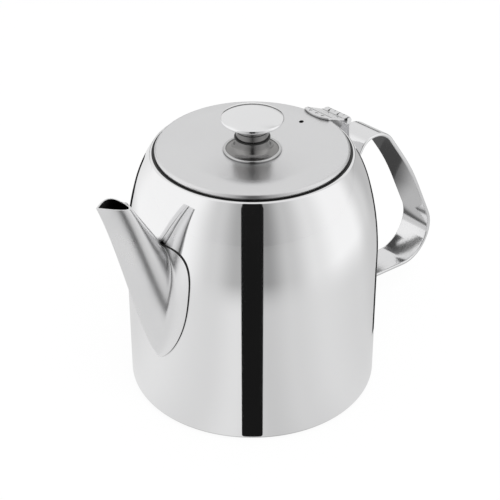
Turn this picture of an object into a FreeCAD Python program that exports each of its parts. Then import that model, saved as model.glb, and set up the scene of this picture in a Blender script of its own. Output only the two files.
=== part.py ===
import FreeCAD, Part
import math
import os

# A stainless steel teapot with a hinged lid, in millimetres.
# The origin is the centre of the base. +Z is up, the spout points along -X and the handle along +X.

# Pot: one drawn shell with a straight wall, a two-arc shoulder and a flat ledge round the mouth
body_radius = 70.0
wall_height = 79.4
shoulder_height = 63.6
shoulder_lower_radius = 163.0
shoulder_upper_radius = 71.0
shoulder_change_angle = 15.5
rim_bend_radius = 1.6
base_corner_radius = 4.0
body_sheet = 1.0
ledge_width = 6.6
weld_gap = 0.05

# Strainer holes through the wall behind the spout
strainer_hole_diameter = 4.0
strainer_row_pitch = 6.0
strainer_column_pitch = 6.0
strainer_bottom = 63.0
strainer_top = 104.0
strainer_single_rows = 2

# Spout: two pressed halves with a joint line on top, a pointed lip and a flange welded to the wall
spout_reach = 107.0
spout_tip_height = 151.5
spout_mouth_length = 18.5
spout_mouth_tilt = 13.7
spout_mouth_width = 15.8
spout_root_width = 25.0
spout_top_height = 112.0
spout_top_depth = 6.0
spout_foot_height = 40.5
spout_foot_depth = 3.5
spout_keel_reach = 78.4
spout_keel_height = 37.7
spout_front_reach = 92.3
spout_front_height = 117.2
spout_sheet = 0.9
spout_front_inset = 1.6
spout_root_front_share = 0.7
spout_mouth_front_share = 0.25
seam_bead_radius = 1.2
flange_top = 113.5
flange_bottom = 42.0
flange_half_width = 21.5
flange_wide_height = 94.0
flange_top_flat = 6.0
flange_corner_out = 0.8
flange_corner_up = 0.65
flange_side_run = 0.54
flange_point_run = 0.07
flange_point_width = 0.42

# Handle: one flat strap bent to a loop, with a welded foot at each end
strap_width = 21.0
strap_thickness = 2.2
strap_edge_radius = 0.9
upper_foot_low = 92.0
upper_foot_high = 106.0
arch_lean = 34.0
arch_top_height = 123.5
arch_root_radius = 10.0
arch_radius = 19.5
arch_reach = 97.2
grip_knee_height = 86.7
grip_knee_reach = 123.0
grip_knee_radius = 180.0
handle_reach = 144.5
handle_bottom = 19.0
lower_bend_radius = 20.0
lower_run_rise = 6.0
lower_foot_length = 14.0
foot_bend_radius = 6.0

# Lid: a pressed cover with a dished middle, a rolled edge and a locating ring under it
lid_margin = 1.5
lid_lift = 0.3
lid_sheet = 0.9
lid_height = 3.8
lid_edge_height = 2.7
lid_edge_radius = 2.2
lid_crown_width = 11.7
lid_dish_depth = 3.5
lid_dish_radius = 18.0
lid_bend_radius = 30.0
ring_clearance = 1.0
ring_sheet = 0.8
ring_depth = 6.0
vent_diameter = 2.6
vent_distance = 37.5

# Hinge: a bracket on the shoulder and a leaf on the lid, rolled round one pin
hinge_standoff = 12.4
hinge_drop = 3.2
hinge_width = 16.4
hinge_sheet = 1.1
hinge_pin_radius = 1.25
knuckle_gap = 0.3
knuckle_count = 5
pin_fit_gap = 0.02
leaf_running_gap = 0.06
pin_head_radius = 1.8
pin_head_length = 0.8
notch_gap = 0.5
leaf_pad_length = 4.6
leaf_pad_width = 18.4
leaf_edge_bow = 2.6
leaf_bend_radius = 7.0
leaf_weld_mark_radius = 0.9
leaf_weld_mark_depth = 0.25
bracket_width = 16.4
bracket_bend_radius = 12.0

# Knob: a trumpet base, a dark spacer, a neck and a domed cap, held by one screw from below
knob_base_radius = 15.75
knob_base_ring_height = 1.3
knob_base_ring_width = 1.6
knob_base_height = 7.6
knob_throat_radius = 9.2
knob_flare_spread = 0.9
knob_flare_low = 0.6
knob_flare_high = 2.2
knob_spacer_radius = 9.7
knob_spacer_height = 0.8
knob_neck_radius = 8.8
knob_neck_height = 5.1
knob_cap_radius = 17.0
knob_cap_edge_radius = 1.2
knob_cap_edge_angle = 60.0
knob_cap_flare_height = 5.2
knob_cap_dome_height = 4.4
knob_cap_flare_run = 3.6
knob_cap_rim_pull = 3.0
knob_cap_crown_radius = 7.7
screw_radius = 2.0
screw_hole_gap = 0.15
screw_thread_gap = 0.02
screw_head_radius = 3.6
screw_head_height = 2.2
screw_slot_width = 1.0
screw_slot_depth = 0.9
screw_engagement = 5.0
screw_hole_overrun = 1.0
washer_radius = 5.5
washer_thickness = 0.8

UP = FreeCAD.Vector(0, 0, 1)
SIDE = FreeCAD.Vector(0, 1, 0)
ORIGIN = FreeCAD.Vector(0, 0, 0)
# A cubic curve whose two handles stand off by h bulges by three quarters of h
section_bulge = 4 / 3


def at(x, z, y=0.0):
    return FreeCAD.Vector(x, y, z)


def line(first, last):
    return Part.LineSegment(first, last).toShape()


def arc_about(centre, radius, start_degrees, end_degrees):
    """An arc in the XZ plane, with angles measured from +X towards +Z."""
    points = []
    for degrees in (start_degrees, (start_degrees + end_degrees) / 2, end_degrees):
        angle = math.radians(degrees)
        points.append(centre + at(radius * math.cos(angle), radius * math.sin(angle)))
    return Part.Arc(*points).toShape()


def bezier(points):
    curve = Part.BezierCurve()
    curve.setPoles(points)
    return curve.toShape()


def rounded_edges(corners, radii):
    """Straight runs through the corners, with each inner corner rounded to its radius."""
    edges = []
    start = corners[0]
    for index, radius in enumerate(radii, start=1):
        corner = corners[index]
        back = (corners[index - 1] - corner).normalize()
        ahead = (corners[index + 1] - corner).normalize()
        half_angle = back.getAngle(ahead) / 2
        first = corner + back * (radius / math.tan(half_angle))
        last = corner + ahead * (radius / math.tan(half_angle))
        middle = corner + (back + ahead).normalize() * (radius / math.sin(half_angle) - radius)
        edges.append(line(start, first))
        edges.append(Part.Arc(first, middle, last).toShape())
        start = last
    edges.append(line(start, corners[-1]))
    return edges


def turned(edges):
    """A solid of revolution about the Z axis from the edges of a half section."""
    ends = [edges[0].firstVertex(True).Point, edges[-1].lastVertex(True).Point]
    return Part.Face(Part.Wire(edges + [line(ends[1], ends[0])])).revolve(ORIGIN, UP, 360)


def turned_ring(inner_radius, outer_radius, low, high):
    ring = Part.makeCylinder(outer_radius, high - low, at(0, low))
    return ring.cut(Part.makeCylinder(inner_radius, high - low, at(0, low)))


def bar_across(radius, width, centre):
    """A round bar along Y, centred on the point."""
    return Part.makeCylinder(radius, width, centre - SIDE * (width / 2), SIDE)


def block(low_x, high_x, low_y, high_y, low_z, high_z):
    return Part.makeBox(high_x - low_x, high_y - low_y, high_z - low_z, at(low_x, low_z, low_y))


def strip(corners, radii, width, thickness, edge_radius=0.0):
    """A flat strip bent along the rounded path, with its width along Y."""
    along = (corners[1] - corners[0]).normalize()
    across = along.cross(SIDE)
    start = corners[0]
    half_width = width / 2
    half_thickness = thickness / 2
    frame = [start + SIDE * (u * half_width) + across * (v * half_thickness)
             for u, v in ((-1, -1), (1, -1), (1, 1), (-1, 1))]
    if edge_radius > 0:
        loop = frame + frame[:2]
        middle = (loop[0] + loop[1]) * 0.5
        edges = rounded_edges([middle] + loop[1:5] + [middle], [edge_radius] * 4)
    else:
        edges = Part.makePolygon(frame + frame[:1]).Edges
    path = Part.Wire(rounded_edges(corners, radii))
    return path.makePipeShell([Part.Wire(edges)], True, False)


# Heights and radii that several pieces share
seat_height = wall_height + shoulder_height
lower_shoulder_centre = at(body_radius - shoulder_lower_radius, wall_height)
change_angle = math.radians(shoulder_change_angle)
upper_shoulder_centre = lower_shoulder_centre + at(
    (shoulder_lower_radius - shoulder_upper_radius) * math.cos(change_angle),
    (shoulder_lower_radius - shoulder_upper_radius) * math.sin(change_angle))
rim_angle = math.degrees(math.asin(
    (seat_height - rim_bend_radius - upper_shoulder_centre.z) / (shoulder_upper_radius - rim_bend_radius)))
rim_centre = upper_shoulder_centre + at(
    (shoulder_upper_radius - rim_bend_radius) * math.cos(math.radians(rim_angle)),
    (shoulder_upper_radius - rim_bend_radius) * math.sin(math.radians(rim_angle)))
rim_radius = rim_centre.x
mouth_radius = rim_radius - ledge_width
lid_radius = rim_radius - lid_margin
lid_low = seat_height + lid_lift
lid_crown = lid_low + lid_height
dish_height = lid_crown - lid_dish_depth
knuckle_radius = hinge_pin_radius + hinge_sheet
hinge_axis = at(rim_radius + hinge_standoff, seat_height - hinge_drop)
knuckle_length = (hinge_width - (knuckle_count - 1) * knuckle_gap) / knuckle_count
screw_hole_radius = screw_radius + screw_hole_gap


def body_radius_at(height):
    """Outer radius of the pot at a height on the wall or on the shoulder."""
    change_height = wall_height + shoulder_lower_radius * math.sin(change_angle)
    if height <= wall_height:
        return body_radius
    if height <= change_height:
        return lower_shoulder_centre.x + math.sqrt(shoulder_lower_radius ** 2 - (height - wall_height) ** 2)
    rise = height - upper_shoulder_centre.z
    return upper_shoulder_centre.x + math.sqrt(shoulder_upper_radius ** 2 - rise ** 2)


def pot_solid(inset):
    """The pot's outer form as a full solid, with every face moved inwards by the inset."""
    corner_centre = at(body_radius - base_corner_radius, base_corner_radius)
    edges = [
        line(at(0, inset), at(corner_centre.x, inset)),
        arc_about(corner_centre, base_corner_radius - inset, -90, 0),
        line(at(body_radius - inset, base_corner_radius), at(body_radius - inset, wall_height)),
        arc_about(lower_shoulder_centre, shoulder_lower_radius - inset, 0, shoulder_change_angle),
        arc_about(upper_shoulder_centre, shoulder_upper_radius - inset, shoulder_change_angle, rim_angle),
        arc_about(rim_centre, rim_bend_radius - inset, rim_angle, 90),
        line(at(rim_radius, seat_height - inset), at(0, seat_height - inset)),
    ]
    return turned(edges)


def strainer_holes():
    """Staggered rows of holes inside the spout's outline."""
    rows = int((strainer_top - strainer_bottom) / strainer_row_pitch) + 1
    holes = []
    for row in range(rows):
        columns = (-0.5, 0.5) if row % 2 else (-1, 0, 1)
        if row < strainer_single_rows:
            columns = (0,)
        for column in columns:
            start = at(0, strainer_bottom + row * strainer_row_pitch, column * strainer_column_pitch)
            holes.append(Part.makeCylinder(strainer_hole_diameter / 2, spout_reach, start, at(-1, 0)))
    return Part.makeCompound(holes)


def body_shell():
    shell = pot_solid(0).cut(pot_solid(body_sheet))
    mouth = Part.makeCylinder(mouth_radius, 2 * body_sheet, at(0, seat_height - 1.5 * body_sheet))
    return shell.cut(mouth).cut(strainer_holes())


# The spout's joint line on top is straight, and its front line is a curve that swells out over the flange
tilt = math.radians(spout_mouth_tilt)
mouth_run = at(-math.cos(tilt), math.sin(tilt))
spout_tip = at(-spout_reach, spout_tip_height)
mouth_back = spout_tip - mouth_run * spout_mouth_length
spout_top = at(-body_radius_at(spout_top_height), spout_top_height)
spout_run = (mouth_back - spout_top).normalize()
spout_root = spout_top - spout_run * spout_top_depth
spout_front = [
    at(spout_foot_depth - body_radius, spout_foot_height),
    at(-spout_keel_reach, spout_keel_height),
    at(-spout_front_reach, spout_front_height),
    spout_tip,
]
last_row = len(spout_front) - 1


def spout_row(row, inset, side):
    """One row of the spout's side, from its top line to its front line: round on top, pointed in front."""
    along = row / last_row
    top = spout_root + (mouth_back - spout_root) * along
    down = (spout_front[row] - top).normalize()
    first = top + down * inset
    last = spout_front[row] - down * (inset * spout_front_inset)
    half_width = (spout_root_width + (spout_mouth_width - spout_root_width) * along) / 2 - inset
    front_share = spout_root_front_share + (spout_mouth_front_share - spout_root_front_share) * along
    bulge = SIDE * (side * half_width * section_bulge)
    return [first, first + bulge, first + (last - first) * front_share + bulge, last]


def spout_end(row, inset):
    """The flat end of the spout at its first or last row."""
    return Part.Face(Part.Wire([bezier(spout_row(row, inset, side)) for side in (-1, 1)]))


def spout_solid(inset):
    """The spout as a full solid from inside the wall to the mouth, with its faces moved in by the inset."""
    faces = [spout_end(0, inset), spout_end(last_row, inset)]
    for side in (-1, 1):
        surface = Part.BezierSurface()
        surface.increase(last_row, last_row)
        for row in range(len(spout_front)):
            for column, pole in enumerate(spout_row(row, inset, side)):
                surface.setPole(row + 1, column + 1, pole)
        faces.append(surface.toShape())
    shell = Part.makeShell(faces)
    shell.sewShape()
    return Part.makeSolid(shell)


def flange_face():
    """The flange seen along X: a flat top with round corners that runs down to a rounded point."""
    top_rise = flange_top - flange_wide_height
    drop = flange_wide_height - flange_bottom
    corner_height = flange_wide_height + top_rise * flange_corner_up
    edges = [line(at(0, flange_top, -flange_top_flat), at(0, flange_top, flange_top_flat))]
    for side in (1, -1):
        wide = side * flange_half_width
        widest = at(0, flange_wide_height, wide)
        upper = bezier([at(0, flange_top, side * flange_top_flat),
                        at(0, flange_top, wide * flange_corner_out),
                        at(0, corner_height, wide), widest])
        lower = bezier([widest, widest - UP * (drop * flange_side_run),
                        at(0, flange_bottom + drop * flange_point_run, wide * flange_point_width),
                        at(0, flange_bottom)])
        edges.extend([upper, lower] if side > 0 else [lower, upper])
    return Part.Face(Part.Wire(edges))


def spout_body():
    """The whole spout: the tube with its bead on top and the flange, open from the wall to the mouth."""
    patch = pot_solid(-weld_gap - spout_sheet).cut(pot_solid(-weld_gap))
    flange = patch.common(flange_face().extrude(at(-spout_reach, 0)))
    bead_start = mouth_back - spout_run * seam_bead_radius
    bead = Part.makeCylinder(seam_bead_radius, (bead_start - spout_root).Length, spout_root, spout_run)
    tube = spout_solid(0).fuse(bead).fuse(flange).cut(pot_solid(-weld_gap))
    mouth_way = spout_end(last_row, spout_sheet).extrude(SIDE.cross(mouth_run) * spout_mouth_length)
    return tube.cut(spout_solid(spout_sheet)).cut(mouth_way)


def spout_half(side):
    """One pressed half, on side -1 or +1 of the middle plane."""
    half_space = block(-2 * spout_reach, 0, 0, spout_reach, 0, 2 * spout_tip_height)
    if side < 0:
        half_space = half_space.mirror(ORIGIN, SIDE)
    return spout_body().common(half_space)


def foot_line(low, high, lift):
    """Two points on the shoulder at the upper foot, moved out from it by the lift."""
    first = at(body_radius_at(low), low)
    last = at(body_radius_at(high), high)
    outwards = SIDE.cross(last - first).normalize()
    return first + outwards * lift, last + outwards * lift


def handle_strap():
    """The strap, from its foot on the shoulder, over the arch and down the grip to its foot on the wall."""
    half_strap = strap_thickness / 2
    foot_low, foot_high = foot_line(upper_foot_low, upper_foot_high, hinge_sheet + half_strap)
    arch_height = arch_top_height - half_strap
    arch_rise = arch_height - foot_high.z
    arch_start = at(foot_high.x + arch_rise * math.tan(math.radians(arch_lean)), arch_height)
    knee = at(grip_knee_reach, grip_knee_height)
    bend_inset = half_strap + lower_bend_radius
    bend_centre = at(handle_reach - bend_inset, handle_bottom + bend_inset)
    to_centre = bend_centre - knee
    heading = math.atan2(to_centre.z, to_centre.x) + math.asin(lower_bend_radius / to_centre.Length)
    lower_heading = -math.pi - math.radians(lower_run_rise)
    tangent = math.sqrt(to_centre.Length ** 2 - lower_bend_radius ** 2)
    overshoot = lower_bend_radius * math.tan((heading - lower_heading) / 2)
    lower_corner = knee + at(math.cos(heading), math.sin(heading)) * (tangent + overshoot)
    wall_face = body_radius + weld_gap + half_strap
    wall_corner = lower_corner + at(-1, math.tan(math.radians(lower_run_rise))) * (lower_corner.x - wall_face)
    foot_end = wall_corner + UP * (lower_foot_length + foot_bend_radius)
    corners = [foot_low, foot_high, arch_start, at(arch_reach, arch_height), knee,
               lower_corner, wall_corner, foot_end]
    radii = [foot_bend_radius, arch_root_radius, arch_radius, grip_knee_radius,
             lower_bend_radius, foot_bend_radius]
    strap = strip(corners, radii, strap_width, strap_thickness, strap_edge_radius)
    return strap.cut(pot_solid(-weld_gap))


def knuckle_span(index):
    """Y range of one knuckle, counted from the -Y end."""
    low = -hinge_width / 2 + index * (knuckle_length + knuckle_gap)
    return low, low + knuckle_length


def knuckles(indices, bore_gap):
    """Rolled knuckles at the given places, with the bore for the pin."""
    rolls = []
    for index in indices:
        low, high = knuckle_span(index)
        roll = bar_across(knuckle_radius, knuckle_length, hinge_axis + SIDE * ((low + high) / 2))
        rolls.append(roll)
    bore = bar_across(hinge_pin_radius + bore_gap, 2 * hinge_width, hinge_axis)
    return rolls, bore


def knuckle_notches(indices, low_z, high_z):
    """Clear spaces in a plate for the other plate's knuckles."""
    reach = knuckle_radius + notch_gap
    notches = []
    for index in indices:
        low, high = knuckle_span(index)
        notches.append(block(hinge_axis.x - reach, hinge_axis.x + reach,
                             low - knuckle_gap, high + knuckle_gap, low_z, high_z))
    return notches


leaf_places = range(0, knuckle_count, 2)
bracket_places = range(1, knuckle_count, 2)


def hinge_bracket():
    """A bent plate welded on the shoulder under the strap's foot, rolled round the pin at its top."""
    foot_low, foot_high = foot_line(upper_foot_low, upper_foot_high, hinge_sheet / 2)
    upright = hinge_axis.x + knuckle_radius - hinge_sheet / 2
    run = foot_high - foot_low
    corner = foot_low + run * ((upright - foot_low.x) / run.x)
    plate = strip([foot_low, corner, at(upright, hinge_axis.z)], [bracket_bend_radius],
                  bracket_width, hinge_sheet)
    top = hinge_axis.z + knuckle_radius + notch_gap
    for notch in knuckle_notches(leaf_places, hinge_axis.z - knuckle_radius - notch_gap, top):
        plate = plate.cut(notch)
    rolls, bore = knuckles(bracket_places, pin_fit_gap)
    return plate.fuse(rolls).cut(bore).cut(pot_solid(-weld_gap)).removeSplitter()


def hinge_pin():
    pin = bar_across(hinge_pin_radius, hinge_width + 2 * knuckle_gap, hinge_axis)
    for side in (-1, 1):
        centre = hinge_axis + SIDE * (side * (hinge_width / 2 + knuckle_gap + pin_head_length / 2))
        pin = pin.fuse(bar_across(pin_head_radius, pin_head_length, centre))
    return pin.removeSplitter()


def lid_slope_height(radius):
    """Height of the lid's top on the slope between its crown and its edge."""
    past_crown = radius - (lid_radius - lid_crown_width)
    return lid_crown - past_crown * (lid_height - lid_edge_height) / lid_crown_width


def lid_line(inset):
    """Edges of the lid's top from the axis to the rim, moved inwards by the inset."""
    corners = [
        at(0, dish_height - inset),
        at(lid_dish_radius, dish_height - inset),
        at(lid_radius - lid_crown_width, lid_crown - inset),
        at(lid_radius - inset, lid_low + lid_edge_height - inset),
        at(lid_radius - inset, lid_low),
    ]
    return rounded_edges(corners, [lid_bend_radius + inset, lid_bend_radius - inset, lid_edge_radius - inset])


def lid_under(inset):
    """Everything below the lid's top, moved inwards by the inset, down to its edge."""
    edges = lid_line(inset)
    return turned(edges + [line(at(lid_radius - inset, lid_low), at(0, lid_low))])


def lid_cover():
    cover = lid_under(0).cut(lid_under(lid_sheet))
    vent = Part.makeCylinder(vent_diameter / 2, 2 * lid_height, at(vent_distance, lid_low - lid_height))
    screw_hole = Part.makeCylinder(screw_hole_radius, 2 * lid_sheet, at(0, dish_height - 1.5 * lid_sheet))
    return cover.cut(vent).cut(screw_hole)


def lid_locating_ring():
    outer = mouth_radius - ring_clearance
    ring = turned_ring(outer - ring_sheet, outer, seat_height - ring_depth, lid_low)
    collar = turned_ring(outer - ring_sheet, outer, lid_low, lid_crown)
    return ring.fuse(collar.common(lid_under(lid_sheet + weld_gap))).removeSplitter()


def lid_hinge_leaf():
    """A plate on the lid's rim that runs out to the pin and is rolled round it."""
    half_sheet = hinge_sheet / 2
    pad_end = lid_radius - lid_edge_radius / 2
    pad_start = pad_end - leaf_pad_length
    pad_lift = half_sheet + 2 * weld_gap
    barrel_top = hinge_axis.z + knuckle_radius - half_sheet
    corners = [
        at(pad_start, lid_slope_height(pad_start) + pad_lift),
        at(pad_end, lid_slope_height(pad_end) + pad_lift),
        at(hinge_axis.x - knuckle_radius - hinge_sheet, barrel_top),
        at(hinge_axis.x, barrel_top),
    ]
    plate = strip(corners, [leaf_bend_radius, leaf_bend_radius], leaf_pad_width, hinge_sheet)
    half_pad = leaf_pad_width / 2
    half_hinge = hinge_width / 2
    bow_end = pad_start + leaf_edge_bow
    neck = hinge_axis.x - knuckle_radius
    bow = Part.Arc(at(bow_end, 0, -half_pad), at(pad_start, 0), at(bow_end, 0, half_pad)).toShape()
    sides = [at(bow_end, 0, half_pad), at(pad_end, 0, half_pad), at(neck, 0, half_hinge),
             at(hinge_axis.x, 0, half_hinge), at(hinge_axis.x, 0, -half_hinge), at(neck, 0, -half_hinge),
             at(pad_end, 0, -half_pad), at(bow_end, 0, -half_pad)]
    outline = [bow] + Part.makePolygon(sides).Edges
    plate = plate.common(Part.Face(Part.Wire(outline)).extrude(UP * (2 * seat_height)))
    low = hinge_axis.z - knuckle_radius - notch_gap
    for notch in knuckle_notches(bracket_places, low, lid_crown):
        plate = plate.cut(notch)
    rolls, bore = knuckles(leaf_places, leaf_running_gap)
    leaf = plate.fuse(rolls).cut(bore)
    for place in (-1, 0, 1):
        mark = pad_start + leaf_edge_bow
        centre = at(mark, lid_slope_height(mark) + pad_lift + half_sheet - leaf_weld_mark_depth,
                    place * leaf_pad_width / 4)
        leaf = leaf.cut(Part.makeCylinder(leaf_weld_mark_radius, hinge_sheet, centre))
    return leaf.cut(lid_under(-weld_gap)).removeSplitter()


# Heights of the knob's pieces, stacked on the lid's dished middle
spacer_low = dish_height + knob_base_height
neck_low = spacer_low + knob_spacer_height
cap_low = neck_low + knob_neck_height
cap_edge = cap_low + knob_cap_flare_height
cap_top = cap_edge + knob_cap_dome_height
screw_top = cap_low + screw_engagement
screw_low = dish_height - lid_sheet - washer_thickness


def knob_base():
    """A trumpet with a raised ring round its foot."""
    ring_in = knob_base_radius - knob_base_ring_width
    step = dish_height + knob_base_ring_height / 2
    ring_centre = at(knob_base_radius - knob_base_ring_width / 2, dish_height + knob_base_ring_height
                     - knob_base_ring_width / 2)
    edges = [
        line(at(screw_hole_radius, dish_height), at(knob_base_radius, dish_height)),
        line(at(knob_base_radius, dish_height), at(knob_base_radius, ring_centre.z)),
        arc_about(ring_centre, knob_base_ring_width / 2, 0, 180),
        line(at(ring_in, ring_centre.z), at(ring_in, step)),
        bezier([at(ring_in, step), at(knob_throat_radius + knob_flare_spread, step + knob_flare_low),
                at(knob_throat_radius, step + knob_flare_high), at(knob_throat_radius, spacer_low)]),
        line(at(knob_throat_radius, spacer_low), at(screw_hole_radius, spacer_low)),
    ]
    return turned(edges)


def knob_spacer():
    return turned_ring(screw_hole_radius, knob_spacer_radius, spacer_low, neck_low)


def knob_neck():
    return turned_ring(screw_hole_radius, knob_neck_radius, neck_low, cap_low)


def knob_cap():
    """A mushroom cap with a threaded blind hole for the screw."""
    edge = knob_cap_edge_radius
    edge_centre = at(knob_cap_radius - edge, cap_edge)
    edges = [
        line(at(0, cap_low), at(knob_neck_radius, cap_low)),
        bezier([at(knob_neck_radius, cap_low), at(knob_neck_radius, cap_edge - edge),
                at(knob_cap_radius - knob_cap_flare_run, cap_edge - edge),
                at(edge_centre.x, cap_edge - edge)]),
        arc_about(edge_centre, edge, -90, knob_cap_edge_angle),
    ]
    rim_turn = math.radians(knob_cap_edge_angle)
    rim = edge_centre + at(math.cos(rim_turn), math.sin(rim_turn)) * edge
    rim_ahead = at(-math.sin(rim_turn), math.cos(rim_turn)) * knob_cap_rim_pull
    edges.append(bezier([rim, rim + rim_ahead, at(knob_cap_crown_radius, cap_top), at(0, cap_top)]))
    hole_depth = screw_engagement + screw_hole_overrun
    return turned(edges).cut(Part.makeCylinder(screw_radius + screw_thread_gap, hole_depth, at(0, cap_low)))


def knob_screw():
    shank = Part.makeCylinder(screw_radius, screw_top - screw_low, at(0, screw_low))
    head = Part.makeCylinder(screw_head_radius, screw_head_height, at(0, screw_low - screw_head_height))
    head_edges = [edge for edge in head.Edges if abs(edge.BoundBox.ZMax - head.BoundBox.ZMin) < weld_gap]
    head = head.makeFillet(screw_head_height / 3, head_edges)
    head_low = screw_low - screw_head_height
    slot = block(-screw_head_radius, screw_head_radius, -screw_slot_width / 2, screw_slot_width / 2,
                 head_low, head_low + screw_slot_depth)
    return shank.fuse(head.cut(slot)).removeSplitter()


def knob_washer():
    return turned_ring(screw_hole_radius, washer_radius, screw_low, screw_low + washer_thickness)


nodes = {
    "body_shell": body_shell(),
    "spout_near_half": spout_half(-1),
    "spout_far_half": spout_half(1),
    "handle_strap": handle_strap(),
    "hinge_bracket": hinge_bracket(),
    "hinge_pin": hinge_pin(),
    "lid_cover": lid_cover(),
    "lid_locating_ring": lid_locating_ring(),
    "lid_hinge_leaf": lid_hinge_leaf(),
    "knob_base": knob_base(),
    "knob_spacer": knob_spacer(),
    "knob_neck": knob_neck(),
    "knob_cap": knob_cap(),
    "knob_screw": knob_screw(),
    "knob_washer": knob_washer(),
}

os.makedirs("parts", exist_ok=True)
for name, shape in nodes.items():
    shape.exportStep("parts/" + name + ".step")
    print(name, "solids", len(shape.Solids), "valid", shape.isValid(), "volume %.1f" % shape.Volume)
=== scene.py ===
import math

import bmesh
import bpy
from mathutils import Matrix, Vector


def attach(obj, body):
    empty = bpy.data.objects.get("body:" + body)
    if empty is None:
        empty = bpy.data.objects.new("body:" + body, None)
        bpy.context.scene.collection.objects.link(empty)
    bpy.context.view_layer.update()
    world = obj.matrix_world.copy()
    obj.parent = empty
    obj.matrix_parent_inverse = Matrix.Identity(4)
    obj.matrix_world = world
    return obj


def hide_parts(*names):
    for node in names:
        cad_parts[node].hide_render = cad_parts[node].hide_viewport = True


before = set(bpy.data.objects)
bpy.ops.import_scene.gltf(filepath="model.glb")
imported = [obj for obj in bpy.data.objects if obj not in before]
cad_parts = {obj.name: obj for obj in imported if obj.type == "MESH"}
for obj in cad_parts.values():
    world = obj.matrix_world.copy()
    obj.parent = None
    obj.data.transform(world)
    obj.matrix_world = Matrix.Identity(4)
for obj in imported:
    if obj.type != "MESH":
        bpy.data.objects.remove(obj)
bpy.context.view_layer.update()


# Pot: a drawn shell of stainless steel with a straight wall, a round shoulder and a flat ledge at its mouth.
# It is polished like a mirror outside and left satin inside, with strainer holes behind the spout.
MM = 0.001
body_radius = 70.0
wall_height = 79.4
shoulder_height = 63.6
shoulder_lower_radius = 163.0
shoulder_upper_radius = 71.0
shoulder_change_angle = 15.5
rim_bend_radius = 1.6
base_corner_radius = 4.0
body_sheet = 1.0
ledge_width = 6.6
ledge_shown = 2.0
same_place = 1e-4
support_gap = 0.15
arc_step = 1.5
turned_segments = 288
hole_segments = 40
smooth_angle = math.radians(35)
steel_colour = (0.90, 0.90, 0.905, 1.0)
satin_colour = (0.84, 0.84, 0.84, 1.0)
shade_colour = (0.05, 0.05, 0.05, 1.0)


def arc(centre, radius, start, end):
    """Points of an arc in a half section, with angles from +X towards +Z in degrees."""
    steps = max(4, int(abs(end - start) / arc_step))
    angles = [math.radians(start + (end - start) * step / steps) for step in range(steps + 1)]
    return [(centre[0] + radius * math.cos(angle), centre[1] + radius * math.sin(angle))
            for angle in angles]


def straight(first, last):
    """A straight run with a support point close to each end, so that shading stays flat along it."""
    run = Vector(last) - Vector(first)
    step = run.normalized() * min(support_gap, run.length / 3)
    return [first, tuple(Vector(first) + step), tuple(Vector(last) - step), last]


def joined(*runs):
    """The runs end to end, without doubled points."""
    points = []
    for run in runs:
        for point in run:
            if not points or (Vector(point) - Vector(points[-1])).length > same_place:
                points.append(point)
    return points


def new_piece(name, builder, materials):
    """An object of the built mesh, smooth apart from its sharp edges."""
    mesh = bpy.data.meshes.new(name)
    bmesh.ops.recalc_face_normals(builder, faces=builder.faces)
    builder.to_mesh(mesh)
    builder.free()
    for material in materials:
        mesh.materials.append(material)
    mesh.shade_smooth()
    mesh.set_sharp_from_angle(angle=smooth_angle)
    piece = bpy.data.objects.new(name, mesh)
    bpy.context.scene.collection.objects.link(piece)
    return piece


def turned(name, profile, materials, inner_from=None):
    """A closed profile turned about the Z axis. Runs from inner_from on take the second material."""
    builder = bmesh.new()
    rings = []
    for radius, height in profile:
        if radius < same_place:
            rings.append([builder.verts.new((0, 0, height * MM))])
            continue
        angles = [2 * math.pi * step / turned_segments for step in range(turned_segments)]
        rings.append([builder.verts.new((radius * MM * math.cos(a), radius * MM * math.sin(a), height * MM))
                      for a in angles])
    closed = len(rings[0]) > 1
    for index in range(len(rings) if closed else len(rings) - 1):
        first = rings[index]
        last = rings[(index + 1) % len(rings)]
        for step in range(turned_segments):
            ahead = (step + 1) % turned_segments
            corners = [first[step % len(first)], first[ahead % len(first)],
                       last[ahead % len(last)], last[step % len(last)]]
            face = builder.faces.new(list(dict.fromkeys(corners)))
            face.material_index = 1 if inner_from is not None and index >= inner_from else 0
    return new_piece(name, builder, materials)


def cut_holes(piece, holes):
    """Cuts round holes, each given by two end points and a radius, through the piece."""
    builder = bmesh.new()
    for start, end, radius in holes:
        run = Vector(end) - Vector(start)
        place = run.to_track_quat("Z", "Y").to_matrix().to_4x4()
        place.translation = (Vector(start) + Vector(end)) / 2 * MM
        bmesh.ops.create_cone(builder, cap_ends=True, segments=hole_segments, radius1=radius * MM,
                              radius2=radius * MM, depth=run.length * MM, matrix=place)
    cutter = new_piece(piece.name + "_holes", builder, [])
    modifier = piece.modifiers.new("holes", "BOOLEAN")
    modifier.object = cutter
    modifier.solver = "EXACT"
    graph = bpy.context.evaluated_depsgraph_get()
    mesh = bpy.data.meshes.new_from_object(piece.evaluated_get(graph))
    piece.modifiers.clear()
    piece.data = mesh
    mesh.set_sharp_from_angle(angle=smooth_angle)
    bpy.data.objects.remove(cutter)


def link(tree, out, into):
    tree.links.new(out, into)


patch_scale = 26.0
patch_detail = 5.0
grain_detail = 3.0
patch_colour = (0.55, 0.55, 0.56, 1.0)


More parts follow.
